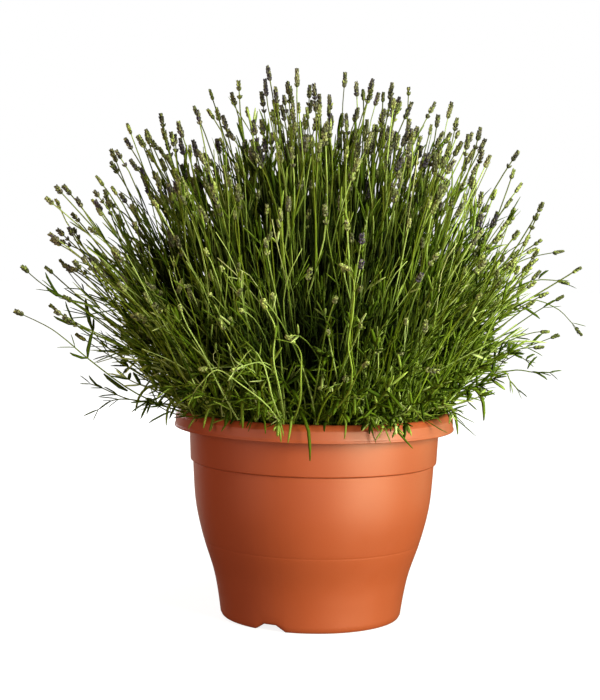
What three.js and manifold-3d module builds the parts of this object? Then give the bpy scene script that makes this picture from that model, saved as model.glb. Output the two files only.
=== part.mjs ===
import * as THREE from "three";
import { mergeVertices } from "three/addons/utils/BufferGeometryUtils.js";
import Module from "manifold-3d";

const wasm = await Module();
wasm.setup();

// Millimetres, +Z up. The origin is the middle of the foot that the pot stands on.
// Every point of the plant is written [right, back, up].

// The pot: radii of its outside, and the heights where the outline turns.
const POT_HEIGHT = 200;
const RIM_RADIUS = 135;
const RIM_TOP_RADIUS = 132.5;
const LIP_HEIGHT = 183.5; // the lower edge of the rim's turned-down lip
const LIP_RADIUS = 129.5;
const BAND_TOP_RADIUS = 120.5;
const BAND_FOOT_RADIUS = 119;
const STEP_HEIGHT = 150; // the small ledge under the upper band
const BODY_OUTLINE = [[116.6, 150], [113.4, 110], [105.6, 76], [95.4, 45], [90.6, 23], [87.6, 3]];
const BODY_POINTS = 5;
const WALL = 2.6;
const FLOOR_TOP = 9;
const FOOT_RADIUS = 86;
const FOOT_RING = 4.5;
const FOOT_RECESS = 6.2; // the floor's underside stands this far above the foot
const AROUND = 40; // facets round the pot and the soil

// The drain notches through the foot ring and the drain holes in the floor.
const NOTCH_BEARINGS = [244, 64];
const NOTCH_WIDTH = 32;
const NOTCH_CREST = 13;
const NOTCH_HEIGHT = 5.8;
const DRAIN_HOLES = 6;
const DRAIN_HOLE_RADIUS = 5;
const DRAIN_CIRCLE = 58;

// The soil fills the pot to a low mound, with a socket for the foot of every tuft.
const SOIL_EDGE_HEIGHT = 181;
const SOIL_MOUND = 6;
const SOIL_RADIUS = 117;
const GAP = 0.3;
const STUB_RADIUS = 4;
const STUB_SIDES = 5;
const STUB_BELOW = 11; // how deep a tuft's woody foot sits in the soil
const STUB_ABOVE = 7;
const CROWN_SPREAD = 2;
const CROWN_DEPTH = 1.2;

// The flower stems fan out from the soil to a dome of tips.
const DOME_CENTRE = 209;
const DOME_REACH = 298;
const DOME_TILT = 78; // degrees from upright to the lowest stems
const ROOT_SPREAD = 88;
const STEM_RADIUS = 1.3;
const SPIKE_LENGTH = 22;
const SPIKE_RADIUS = 3;
const STEM_ARCH = 0.07;
const NOD = 0.2; // extra arch of the one stem whose bud hangs over on the right

// Tips of the stems that make the outline seen from the front, tuft by tuft from left to right.
const OUTLINE_TUFTS = [
  [[-275, -90, 293], [-267, -90, 334]],
  [[-253, -30, 395], [-238, -30, 407], [-231, -22, 400]],
  [[-253, 40, 365], [-250, 46, 349], [-251, 40, 330]],
  [[-204, -45, 414], [-194, -50, 427], [-199, -40, 393]],
  [[-188, 30, 472], [-177, 36, 461], [-170, 30, 467], [-203, 26, 447]],
  [[-150, -30, 479], [-133, -36, 470], [-119, -30, 486]],
  [[-108, 25, 506], [-87, 30, 504], [-80, 22, 515], [-72, 28, 490]],
  [[-51, -20, 526], [-43, -26, 506], [-23, -20, 524]],
  [[-7, 25, 514], [8, 30, 504], [23, 22, 525], [34, 30, 517]],
  [[48, -30, 515], [66, -36, 511], [73, -28, 492]],
  [[85, 30, 512], [111, 36, 499], [127, 28, 499], [133, 34, 484]],
  [[149, -40, 471], [141, -46, 466], [152, -36, 451]],
  [[192, 20, 453], [189, 26, 435], [186, 16, 406]],
  [[210, -35, 403], [205, -40, 392], [177, -36, 385]],
  [[239, 45, 358], [216, 50, 359], [210, 40, 340]],
  [[233, -45, 330], [228, -50, 315], [226, -40, 300]],
  [[275, 130, 272], [248, 124, 267], [233, 130, 256]],
];

// The other flowering tufts, as seen from above on a unit disc: front rows, repeated behind.
const INNER_ROWS = [
  { back: 0.3, across: [-0.7, -0.36, 0, 0.34, 0.68] },
  { back: 0.6, across: [-0.56, -0.19, 0.19, 0.54] },
  { back: 0.8, across: [-0.28, 0.26] },
];
const TIPS_PER_TUFT = 4;
const TIP_SPREAD = 20;
const REACH_SPREAD = 24;

// The leafy shoots: an outer ring that spreads over the rim and an inner ring between the stems.
const SHOOT_RINGS = [
  {
    root: 97,
    arch: 0.16,
    ends: [[206, 224], [184, 238], [158, 250]],
    bearings: [4, 34, 62, 90, 118, 148, 178, 206, 232, 260, 296, 328],
  },
  {
    root: 52,
    arch: 0.07,
    ends: [[118, 292], [96, 320], [76, 300]],
    bearings: [16, 58, 94, 157, 239, 272],
  },
];
const SHOOT_RADIUS = 1.3;
const SHOOT_SWING = 6; // degrees between neighbouring shoots of one tuft
const LEAF_PLACE = 0.85;
const LEAF_SPREAD = 0.7;
const LEAF_LENGTH = 30;
const LEAF_HALF_WIDTH = 2;
const LEAF_HALF_THICKNESS = 0.6;

const TERRACOTTA = { color: 0xb8502a, roughness: 0.42, metalness: 0 };
const SOIL = { color: 0x1c1511, roughness: 0.95, metalness: 0 };
const STEM_GREEN = { color: 0x6f8f2e, roughness: 0.6, metalness: 0 };
const LEAF_GREEN = { color: 0x4b6b26, roughness: 0.6, metalness: 0 };

const radians = THREE.MathUtils.degToRad;

// Repeatable numbers from 0 to 1.
function seeded(seed) {
  let state = seed >>> 0;
  return () => {
    state = (Math.imul(state, 1664525) + 1013904223) >>> 0;
    return state / 4294967296;
  };
}

function solidOf(geometry) {
  const bare = geometry.clone();
  bare.deleteAttribute("normal");
  bare.deleteAttribute("uv");
  const merged = mergeVertices(bare, 1e-4);
  return new wasm.Manifold(new wasm.Mesh({
    numProp: 3,
    vertProperties: new Float32Array(merged.attributes.position.array),
    triVerts: new Uint32Array(merged.index.array),
  }));
}

function geometryOf(solid) {
  const mesh = solid.getMesh();
  const geometry = new THREE.BufferGeometry();
  geometry.setAttribute("position", new THREE.BufferAttribute(mesh.vertProperties, 3));
  geometry.setIndex(new THREE.BufferAttribute(mesh.triVerts, 1));
  geometry.computeVertexNormals();
  return geometry;
}

function named(name, solid, finish) {
  const mesh = new THREE.Mesh(geometryOf(solid), new THREE.MeshStandardMaterial(finish));
  mesh.name = name;
  return mesh;
}

// A profile of [radius, height] points turned round the upright axis.
function turned(profile) {
  const points = profile.map(([radius, height]) => new THREE.Vector2(radius, height));
  return solidOf(new THREE.LatheGeometry(points, AROUND).rotateX(Math.PI / 2));
}

// The outside of the body below the band, or that outline moved in by some distance.
function bodyOutline(inset) {
  const knots = BODY_OUTLINE.map(([radius, height]) => new THREE.Vector2(radius - inset, height));
  return new THREE.SplineCurve(knots).getPoints(BODY_POINTS).map((p) => [p.x, p.y]);
}

function potProfile() {
  const floorEdge = FOOT_RADIUS - WALL;
  const inside = bodyOutline(WALL).filter(([, height]) => height > FLOOR_TOP + 4);
  return [
    [0, FOOT_RECESS],
    [FOOT_RADIUS - FOOT_RING - 1, FOOT_RECESS],
    [FOOT_RADIUS - FOOT_RING, 0],
    [FOOT_RADIUS, 0],
    ...bodyOutline(0).reverse(),
    [BAND_FOOT_RADIUS, STEP_HEIGHT + 1.2],
    [BAND_TOP_RADIUS, LIP_HEIGHT + 0.5],
    [BAND_TOP_RADIUS + 1.2, LIP_HEIGHT + 9],
    [LIP_RADIUS - 1, LIP_HEIGHT + 9],
    [LIP_RADIUS - 2.2, LIP_HEIGHT + 0.4],
    [LIP_RADIUS, LIP_HEIGHT],
    [RIM_RADIUS - 1.4, LIP_HEIGHT + 6],
    [RIM_RADIUS, POT_HEIGHT - 5],
    [RIM_TOP_RADIUS + 1.7, POT_HEIGHT - 1.4],
    [RIM_TOP_RADIUS, POT_HEIGHT],
    [RIM_TOP_RADIUS - 8, POT_HEIGHT - 1],
    [BAND_TOP_RADIUS, POT_HEIGHT - 4.5],
    [BAND_TOP_RADIUS - WALL, LIP_HEIGHT + 5],
    [BAND_FOOT_RADIUS - WALL, STEP_HEIGHT + 2],
    ...inside,
    [floorEdge - 3, FLOOR_TOP],
    [0, FLOOR_TOP],
  ];
}

// A trapezoid as wide as the notch at the foot and narrower above, cut out through the foot ring.
function footNotch(bearing) {
  const shape = new THREE.Shape();
  shape.moveTo(-NOTCH_WIDTH / 2, -1);
  shape.lineTo(NOTCH_WIDTH / 2, -1);
  shape.lineTo(NOTCH_CREST / 2, NOTCH_HEIGHT);
  shape.lineTo(-NOTCH_CREST / 2, NOTCH_HEIGHT);
  shape.closePath();
  const prism = new THREE.ExtrudeGeometry(shape, { depth: FOOT_RING * 5, bevelEnabled: false });
  prism.rotateX(Math.PI / 2).rotateZ(Math.PI);
  prism.translate(0, FOOT_RADIUS - FOOT_RING * 3, 0);
  prism.rotateZ(radians(bearing - 90));
  return solidOf(prism);
}

function drainHole(bearing) {
  const drill = new THREE.CylinderGeometry(DRAIN_HOLE_RADIUS, DRAIN_HOLE_RADIUS, 3 * FLOOR_TOP, 12);
  drill.rotateX(Math.PI / 2).translate(DRAIN_CIRCLE, 0, FLOOR_TOP);
  return solidOf(drill.rotateZ(radians(bearing)));
}

function pot() {
  let solid = turned(potProfile());
  for (const bearing of NOTCH_BEARINGS) solid = solid.subtract(footNotch(bearing));
  for (let i = 0; i < DRAIN_HOLES; i++) {
    solid = solid.subtract(drainHole((i + 0.5) * 360 / DRAIN_HOLES));
  }
  return named("pot", solid, TERRACOTTA);
}

function soilHeight(radius) {
  return SOIL_EDGE_HEIGHT + SOIL_MOUND * (1 - (radius / SOIL_RADIUS) ** 2);
}

function soilProfile() {
  const slack = WALL + 2 * GAP;
  const side = bodyOutline(slack).reverse().filter(([, height]) => height > FLOOR_TOP + 4);
  const crown = [0.8, 0.4].map((share) => share * SOIL_RADIUS);
  return [
    [0, FLOOR_TOP + GAP],
    [FOOT_RADIUS - slack - 4, FLOOR_TOP + GAP],
    ...side,
    [SOIL_RADIUS - 1.4, STEP_HEIGHT + 3],
    [SOIL_RADIUS, SOIL_EDGE_HEIGHT],
    ...crown.map((radius) => [radius, soilHeight(radius)]),
    [0, soilHeight(0)],
  ];
}

// The woody foot of a tuft, or its socket in the soil when grown by the gap.
function stub(root, grown) {
  const height = STUB_BELOW + STUB_ABOVE + 2 * grown;
  const radius = STUB_RADIUS + grown;
  const post = new THREE.CylinderGeometry(radius, radius, height, STUB_SIDES);
  const middle = soilHeight(root.length()) + (STUB_ABOVE - STUB_BELOW) / 2;
  return solidOf(post.rotateX(Math.PI / 2).translate(root.x, root.y, middle));
}

// A closed solid lofted along a curve. Each station is [place along, half width, half thickness].
function lofted(curve, stations, sides) {
  const chord = curve.getPoint(1).sub(curve.getPoint(0));
  const across = new THREE.Vector3(-chord.y, chord.x, 0).normalize();
  if (across.lengthSq() === 0) across.set(0, 1, 0);
  const vertices = [];
  for (const [place, halfWidth, halfThickness] of stations) {
    const centre = curve.getPoint(place);
    const normal = new THREE.Vector3().crossVectors(curve.getTangent(place), across).normalize();
    for (let k = 0; k < sides; k++) {
      const angle = 2 * Math.PI * k / sides;
      const corner = centre.clone()
        .addScaledVector(across, halfWidth * Math.cos(angle))
        .addScaledVector(normal, -halfThickness * Math.sin(angle));
      vertices.push(corner.x, corner.y, corner.z);
    }
  }
  const faces = [];
  for (let ring = 0; ring + 1 < stations.length; ring++) {
    for (let k = 0; k < sides; k++) {
      const a = ring * sides + k;
      const b = ring * sides + (k + 1) % sides;
      faces.push(a, a + sides, b, b, a + sides, b + sides);
    }
  }
  const last = (stations.length - 1) * sides;
  for (let k = 1; k + 1 < sides; k++) {
    faces.push(0, k, k + 1, last, last + k + 1, last + k);
  }
  return new wasm.Manifold(new wasm.Mesh({
    numProp: 3,
    vertProperties: new Float32Array(vertices),
    triVerts: new Uint32Array(faces),
  }));
}

// A shoot's line from its root: straight, with an upward arch that grows as the chord leans.
function arched(start, end, arch) {
  const chord = end.clone().sub(start);
  const lift = new THREE.Vector3(0, 0, 1).projectOnPlane(chord.clone().normalize());
  lift.multiplyScalar(chord.length() * arch);
  return new THREE.CubicBezierCurve3(
    start,
    start.clone().addScaledVector(chord, 0.34).add(lift),
    start.clone().addScaledVector(chord, 0.7).add(lift),
    end,
  );
}

// The root below a tip: the lower the tip leans, the nearer the pot's wall.
function rootOf(tip) {
  const reach = tip.clone().sub(new THREE.Vector3(0, 0, DOME_CENTRE));
  const tilt = Math.acos(reach.z / reach.length()) / radians(DOME_TILT);
  return new THREE.Vector2(reach.x, reach.y).setLength(ROOT_SPREAD * tilt);
}

// Where a shoot leaves its tuft's foot: off the foot's middle, on the side of its own tip.
function crownPoint(root, tip, tips) {
  const aside = new THREE.Vector2();
  for (const other of tips) aside.add(new THREE.Vector2(tip.x - other.x, tip.y - other.y));
  aside.setLength(CROWN_SPREAD);
  const height = soilHeight(root.length()) + STUB_ABOVE - CROWN_DEPTH;
  return new THREE.Vector3(root.x + aside.x, root.y + aside.y, height);
}

function flowerStem(start, tip, arch) {
  const curve = arched(start, tip, arch);
  const spike = 1 - SPIKE_LENGTH / curve.getLength();
  return lofted(curve, [
    [0, STEM_RADIUS * 0.8, STEM_RADIUS * 0.8],
    [0.5, STEM_RADIUS, STEM_RADIUS],
    [spike, STEM_RADIUS * 0.8, STEM_RADIUS * 0.8],
    [spike + (1 - spike) * 0.3, SPIKE_RADIUS, SPIKE_RADIUS],
    [1, STEM_RADIUS, STEM_RADIUS],
  ], 4);
}

function floweringTuft(tips) {
  const root = new THREE.Vector2();
  for (const tip of tips) root.add(rootOf(tip));
  root.divideScalar(tips.length);
  let solid = stub(root, 0);
  for (const tip of tips) {
    const nods = tip.x > 0 && tip.y > 100;
    const start = crownPoint(root, tip, tips);
    solid = solid.add(flowerStem(start, tip, nods ? NOD : STEM_ARCH));
  }
  return { root, solid };
}

// Tips spread evenly about a place on the dome.
function domeTips(across, back, seed) {
  const random = seeded(seed);
  const tilt = radians(DOME_TILT) * Math.hypot(across, back);
  const bearing = Math.atan2(back, across);
  const outward = new THREE.Vector3(
    Math.sin(tilt) * Math.cos(bearing), Math.sin(tilt) * Math.sin(bearing), Math.cos(tilt));
  const sideways = new THREE.Vector3(-Math.sin(bearing), Math.cos(bearing), 0);
  const downward = new THREE.Vector3().crossVectors(sideways, outward);
  return Array.from({ length: TIPS_PER_TUFT }, (_, i) => {
    const turn = 2 * Math.PI * (i + 0.25 + 0.5 * random()) / TIPS_PER_TUFT;
    return new THREE.Vector3(0, 0, DOME_CENTRE)
      .addScaledVector(outward, DOME_REACH - REACH_SPREAD * random())
      .addScaledVector(sideways, TIP_SPREAD * Math.cos(turn))
      .addScaledVector(downward, TIP_SPREAD * Math.sin(turn));
  });
}

function innerTuftTips() {
  const tufts = [];
  for (const side of [-1, 1]) {
    for (const row of INNER_ROWS) {
      for (const across of row.across) {
        tufts.push(domeTips(across, side * row.back, 100 + tufts.length));
      }
    }
  }
  return tufts;
}

function leaf(start, direction) {
  const droop = new THREE.Vector3(0, 0, -LEAF_LENGTH * 0.12);
  const end = start.clone().addScaledVector(direction, LEAF_LENGTH).add(droop);
  const middle = start.clone().addScaledVector(direction, LEAF_LENGTH / 2).sub(droop);
  return lofted(new THREE.QuadraticBezierCurve3(start, middle, end), [
    [0, LEAF_HALF_WIDTH * 0.2, LEAF_HALF_THICKNESS * 0.5],
    [0.45, LEAF_HALF_WIDTH, LEAF_HALF_THICKNESS],
    [1, LEAF_HALF_WIDTH * 0.2, LEAF_HALF_THICKNESS * 0.5],
  ], 3);
}

// A leafy shoot that ends in a pair of narrow leaves.
function leafyShoot(start, end, arch) {
  const curve = arched(start, end, arch);
  let solid = lofted(curve, [
    [0, SHOOT_RADIUS * 0.8, SHOOT_RADIUS * 0.8],
    [0.5, SHOOT_RADIUS, SHOOT_RADIUS],
    [LEAF_PLACE, SHOOT_RADIUS, SHOOT_RADIUS],
    [1, SHOOT_RADIUS * 0.6, SHOOT_RADIUS * 0.6],
  ], 3);
  const chord = end.clone().sub(curve.getPoint(0));
  const across = new THREE.Vector3(-chord.y, chord.x, 0).normalize();
  for (const side of [-1, 1]) {
    const direction = curve.getTangent(1).addScaledVector(across, side * LEAF_SPREAD).normalize();
    solid = solid.add(leaf(curve.getPoint(LEAF_PLACE), direction));
  }
  return solid;
}

function leafyTuft(ring, bearing) {
  const root = new THREE.Vector2(ring.root, 0).rotateAround(new THREE.Vector2(), radians(bearing));
  const ends = ring.ends.map(([radius, height], i) => {
    const angle = radians(bearing + SHOOT_SWING * (i - 1));
    return new THREE.Vector3(radius * Math.cos(angle), radius * Math.sin(angle), height);
  });
  let solid = stub(root, 0);
  for (const end of ends) {
    solid = solid.add(leafyShoot(crownPoint(root, end, ends), end, ring.arch));
  }
  return { root, solid };
}

function leafyTufts() {
  return SHOOT_RINGS.flatMap((ring) => ring.bearings.map((bearing) => leafyTuft(ring, bearing)));
}

function soil(roots) {
  let solid = turned(soilProfile());
  for (const root of roots) solid = solid.subtract(stub(root, GAP));
  return named("potting_soil", solid, SOIL);
}

function numbered(prefix, index) {
  return prefix + "_" + String(index + 1).padStart(2, "0");
}

function plant() {
  const outline = OUTLINE_TUFTS.map((tips) => tips.map((tip) => new THREE.Vector3(...tip)));
  const flowering = [...outline, ...innerTuftTips()].map(floweringTuft);
  const leafy = leafyTufts();
  const group = new THREE.Group();
  group.add(soil([...flowering, ...leafy].map((tuft) => tuft.root)));
  flowering.forEach((tuft, i) => {
    group.add(named(numbered("flowering_stems", i), tuft.solid, STEM_GREEN));
  });
  leafy.forEach((tuft, i) => {
    group.add(named(numbered("leafy_shoots", i), tuft.solid, LEAF_GREEN));
  });
  return group;
}

const pottedPlant = new THREE.Group();
pottedPlant.add(pot(), plant());

export default pottedPlant;
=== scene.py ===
import math

import bpy
import numpy as np
from mathutils import Matrix, Vector


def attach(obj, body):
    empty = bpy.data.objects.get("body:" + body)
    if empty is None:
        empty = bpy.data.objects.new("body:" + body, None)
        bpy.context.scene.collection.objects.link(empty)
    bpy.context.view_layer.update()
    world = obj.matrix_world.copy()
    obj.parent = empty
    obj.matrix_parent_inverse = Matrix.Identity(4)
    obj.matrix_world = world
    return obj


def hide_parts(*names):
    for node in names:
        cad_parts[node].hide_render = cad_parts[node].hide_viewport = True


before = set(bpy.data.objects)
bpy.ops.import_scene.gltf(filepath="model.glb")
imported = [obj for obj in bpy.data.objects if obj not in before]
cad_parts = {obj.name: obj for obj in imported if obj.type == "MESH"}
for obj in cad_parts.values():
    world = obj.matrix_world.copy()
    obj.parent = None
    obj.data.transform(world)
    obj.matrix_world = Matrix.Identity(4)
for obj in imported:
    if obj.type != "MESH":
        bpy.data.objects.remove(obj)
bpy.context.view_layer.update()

# Lengths are in millimetres, and become Blender's metres where a mesh, lamp or camera is made.
# Every point is [right, back, up] from the middle of the foot that the pot stands on.
MM = 0.001

# The pot's section as [radius, height]: down its body, over its rim from the band's foot, and out to
# the foot ring from below.
BODY_OUTLINE = [[116.6, 150], [113.4, 110], [105.6, 76], [95.4, 45], [90.6, 23], [87.6, 3]]
RIM_OUTLINE = [
    [119, 151.2], [120.5, 184], [121.7, 192.5],  # up the band, into the hollow under the rim
    [133.6, 192.5], [132.4, 183.9], [134.6, 183.5],  # the rim's lower edge
    [135, 184.7], [134, 186.7], [133.8, 194.5],  # its face
    [131.9, 197], [129.5, 199.6], [126.5, 200], [123.5, 199],  # its rolled top
    [120.5, 195.5], [117.9, 188.5], [116.4, 152],  # down the band's inside
]
FOOT_OUTLINE = [[0, 6.2], [80.5, 6.2], [81.5, 0], [86, 0]]
BODY_POINTS = 22
POT_HEIGHT = 200
RIM_RADIUS = 135
WALL = 2.6
FLOOR_TOP = 9
FLOOR_RADIUS = 80.4
WALL_FOOT = 4  # how far above the floor the inside of the wall starts
FOOT_RADIUS = 86
CORNER = 0.9  # how far a moulded corner is rounded, and the most of a side that it may take
CORNER_SHARE = 0.4
CORNER_STEPS = (0, 0.25, 0.5, 0.75, 1)
SHARP_ANGLE = 40  # degrees; a sharper edge isn't shaded smooth
AROUND = 150
GROOVE_HEIGHT = 73.5  # a faint parting line round the body
GROOVE_DEPTH = 0.18
GROOVE_WIDTH = 0.9
GROOVE_RINGS = [2, 1.2, 0.6, 0, -0.6, -1.2, -2]
NOTCH_BEARINGS = [244, 64]
NOTCH_WIDTH = 32
NOTCH_CREST = 13
NOTCH_HEIGHT = 5.8
NOTCH_FADE = 12  # above this height the outline no longer follows a notch
NOTCH_INSIDE = 80.6  # nor within this radius
CLOSEST_BEARINGS = 0.003  # radians; of two that are closer, one is left out

# The soil fills the pot to a low mound.
SOIL_EDGE_HEIGHT = 181
SOIL_MOUND = 6
SOIL_RADIUS = 117
SOIL_FLOOR_RADIUS = 78.8
SOIL_SHOULDER = [115.6, 153]
SOIL_STEPS = 12
MOUND_RINGS = 30
MOUND_RADII = [115.5, 3]
SOIL_AROUND = 120
SOIL_ROUGHNESS = 0.7
GAP = 0.3  # between the soil and the pot
CRUMBS = 800
CRUMB_REACH = 112
CRUMB_SIZE = [0.7, 2.6]
CRUMB_LIFT = 0.35  # how far its middle lies above the soil, for its size
CRUMB_PLACES = np.array([-1, -0.5, 0.5, 1])
CRUMB_RADII = np.array([0.3, 1, 0.9, 0.25])
STUB_RADIUS = 4
STUB_HEIGHTS = np.array([-11, -2, 2, 5, 7])
STUB_TAPER = np.array([0.9, 1, 0.85, 0.8, 0.55])
STUB_SINK = 2  # how far into the soil a shoot starts

# The flower stems fan out from the soil to a dome of tips.
DOME_CENTRE = 209
DOME_REACH = 298
DOME_RISE = 0.06  # the dome's top stands this much higher than a round one's
DOME_TILT = 78
ROOT_SPREAD = 88
ROOT_LIMIT = 108
ROOT_SCATTER = 15
TIPS_PER_TUFT = 4
TIP_SPREAD = 20
REACH_SPREAD = 24
WANDER = 3  # how far a stem wanders from its arch
STEM_ARCH = 0.07
NOD = 0.2  # the arch of the stems on the right that stand further back than this
NOD_BACK = 100
# An arch is pulled up at these two places along its chord.
ARCH_PULLS = [0.34, 0.7]
# To the right of the first and below the second, the spikes are still green: their ripeness is cut
# down to the third.
GREEN_RIGHT = 150
GREEN_BELOW = 390
GREEN_SHARE = 0.3

# Tips of the stems that make the outline seen from the front, tuft by tuft from left to right.
OUTLINE_TUFTS = [
    [[-275, -90, 293], [-267, -90, 334]],
    [[-257, -30, 398], [-248, -30, 409], [-242, -22, 410], [-233, -26, 384]],
    [[-257, 40, 368], [-264, 46, 358], [-254, 40, 357]],
    [[-208, -45, 419], [-194, -50, 432], [-200, -40, 401], [-207, -44, 389]],
    [[-188, 30, 472], [-177, 36, 461], [-170, 30, 467], [-203, 26, 447]],
    [[-150, -30, 479], [-133, -36, 470], [-119, -30, 486]],
    [[-108, 25, 506], [-87, 30, 504], [-80, 22, 515], [-72, 28, 490]],
    [[-51, -20, 526], [-43, -26, 506], [-23, -20, 524]],
    [[-7, 25, 514], [8, 30, 504], [23, 22, 525], [34, 30, 517]],
    [[48, -30, 515], [66, -36, 511], [73, -28, 492]],
    [[85, 30, 512], [111, 36, 499], [127, 28, 499], [133, 34, 484], [87, 10, 497], [114, 24, 486],
     [93, 0, 473], [86, 16, 481], [126, 20, 469], [96, -6, 463], [69, 12, 495]],
    [[149, -40, 471], [141, -46, 466], [152, -36, 451], [133, -30, 458], [146, -24, 453]],
    [[192, 20, 453], [189, 26, 435], [186, 16, 406]],
    [[210, -35, 403], [205, -40, 392], [177, -36, 385]],
    [[216, 50, 359], [210, 40, 340]],
    [[233, -45, 330], [228, -50, 315], [226, -40, 300]],
    [[275, 130, 272], [248, 124, 267], [233, 130, 256]],
]

# The other flowering tufts, as seen from above on a unit disc: rows in front and then behind. Each
# has so many flower spikes, tall leafy shoots and bare thin stems.
MIDDLE, HALFWAY, LOW = [-0.7, -0.36, 0, 0.34, 0.65], [-0.56, -0.19, 0.19, 0.54], [-0.28, 0.26]
INNER_ROWS = [
    {"back": -0.3, "across": MIDDLE, "spikes": [14, 22, 24, 22, 14], "shoots": 19, "bare": 24, "ripe": 0.6},
    {"back": -0.6, "across": HALFWAY, "spikes": [3, 4, 4, 3], "shoots": 13, "bare": 12, "ripe": 0.3},
    {"back": -0.8, "across": LOW, "spikes": [2, 2], "shoots": 14, "bare": 9, "ripe": 0.2},
    {"back": 0.3, "across": MIDDLE, "spikes": [12, 20, 22, 20, 12], "shoots": 19, "bare": 0, "ripe": 1},
    {"back": 0.6, "across": HALFWAY, "spikes": [9, 11, 11, 9], "shoots": 24, "bare": 0, "ripe": 1},
    {"back": 0.8, "across": LOW, "spikes": [6, 6], "shoots": 20, "bare": 0, "ripe": 1},
]

# The strands by kind: the thickness against a flower stem's, the share left at the tip, how far they
# sway sideways, and the share of that sway upwards.
STRANDS = {
    "spike": [1, 0.62, 21, 0.2],
    "shoot": [0.9, 0.5, 24, 0.2],
    "bare": [0.75, 0.6, 14, 0.2],
    "bud": [0.85, 0.6, 8, 1],
    "placed": [0.75, 0.6, 0, 0],
    "twig": [0.8, 0.6, 0, 0],
    "fringe": [0.7, 0.6, 0, 0],
    "wisp": [0.7, 0.6, 30, 0.3],
    "leafy": [0.9, 0.6, 12, 1],
}
# The leaves on them: the lean from the stem in degrees, and the ranges of their length, half their
# width and their droop.
LEAVES = {
    "upper": [13, [14, 28], [0.8, 1.4], [0, 0.05]],
    "bare": [24, [10, 22], [0.6, 1.1], [0, 0.2]],
    "bud": [22, [12, 24], [0.7, 1.2], [0, 0.1]],
    "placed": [30, [12, 22], [0.8, 1.3], [0, 0.2]],
    "end": [24, [9, 18], [0.8, 1.3], [0, 0.2]],
    "twig": [50, [7, 15], [1.0, 1.9], [-0.2, 0.6]],
    "fringe": [52, [6, 15], [1.0, 1.9], [-0.4, 0.7]],
    "wisp": [34, [8, 20], [0.8, 1.5], [-0.1, 0.3]],
}
# The shoots in front start nearer below their tips, and have fewer and shorter leaves, darkened as painted
# shade.
FRONT = {
    # tone: painted shade, the share of their strand's tone that the leaves keep
    "root_share": 0.85, "pairs": 3, "tone": 0.55, "stem": [0, 0.85], "scatter": 30,
    "spike_leaf": [18, [22, 46], [0.612, 1.156], [0, 0.14]],
    "shoot_leaf": [24, [18, 37.5], [0.612, 1.292], [0, 0.14]],
    "tip_leaf": [9, [12, 24], [0.612, 1.156], [0, 0.05]],
}
BEHIND = {
    "root_share": 0.52, "pairs": 5, "tone": 1, "stem": [0.1, 0.88], "scatter": 22,
    "spike_leaf": [18, [22, 46], [0.9, 1.7], [0, 0.14]],
    "shoot_leaf": [18, [24, 50], [0.9, 1.9], [0, 0.14]],
    "tip_leaf": [9, [16, 32], [0.9, 1.7], [0, 0.05]],
}
# Spikes and shoots of an outline tuft: how many when it lies level, and when it stands upright.
OUTLINE_SPIKES = [3, 31]
OUTLINE_SHOOTS = [12, 29]
UPRIGHT_POWER = 2.5
SPIKE_REACH = [0.79, 0.98]
SHOOT_REACH = [0.5, 0.79]
BARE_REACH = [0.6, 0.94]
SHOOT_REACH_UPRIGHT = 0.05  # an upright shoot reaches so much further
SHOOT_SCATTER = 4  # and every shoot scatters so much more than a spike
UPPER_SHARE = 0.4  # of the spikes, those with a pair of leaves high up

# Buds on nodding stems that show against the dark middle of the front: the tuft's number, the tip,
# how far the stem arches and how ripe the bud is.
FRONT_BUDS = [
    [23, [-96, -190, 356], 0.1, 0.1], [23, [-81, -215, 342], 0.16, 0.1], [23, [-90, -215, 319], 0.3, 0.05],
    [24, [-44, -215, 365], 0.06, 0.3], [24, [-32, -200, 390], 0.05, 0.2], [27, [-37, -235, 321], 0.14, 0.1],
    [27, [-44, -240, 316], 0.2, 0.05], [27, [-63, -235, 307], 0.28, 0], [27, [-69, -225, 256], 0.3, 0.1],
    [27, [-22, -235, 285], 0.3, 0.1], [25, [21, -225, 345], 0.24, 0.05], [25, [5, -190, 395], 0.03, 0.35],
    [28, [16, -235, 319], 0.1, 0.1], [28, [10, -235, 291], 0.12, 0.2], [28, [37, -235, 298], 0.12, 0],
    [25, [24, -200, 382], 0.05, 0.3], [25, [37, -215, 371], 0.05, 0.95], [25, [37, -220, 349], 0.05, 0.9],
    [26, [102, -180, 355], 0.1, 0.3], [26, [89, -190, 338], 0.1, 0.9],
]

# Stems that bend over low in the front: the tuft's number, points along the stem after its foot,
# and how ripe the bud is, where it has one.
BENT_STEMS = [
    [27, [[-39, -190, 222], [-63, -200, 242], [-83, -200, 254], [-96, -200, 243], [-104, -198, 232]], None],
    [27, [[-35, -196, 228], [-40, -205, 248], [-45, -205, 262], [-55, -205, 272], [-70, -205, 251]], None],
    [27, [[-13, -190, 225], [-12, -210, 252], [-12, -210, 268], [-16, -210, 277], [-25, -210, 284]], 0.05],
    [28, [[31, -215, 250], [27, -225, 279], [30, -225, 302], [31, -225, 325], [28, -225, 340],
          [19, -225, 346]], 0.1],
    [27, [[-29, -205, 235], [-35, -225, 266], [-34, -225, 291], [-40, -225, 305], [-46, -225, 315]], 0.05],
]
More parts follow.
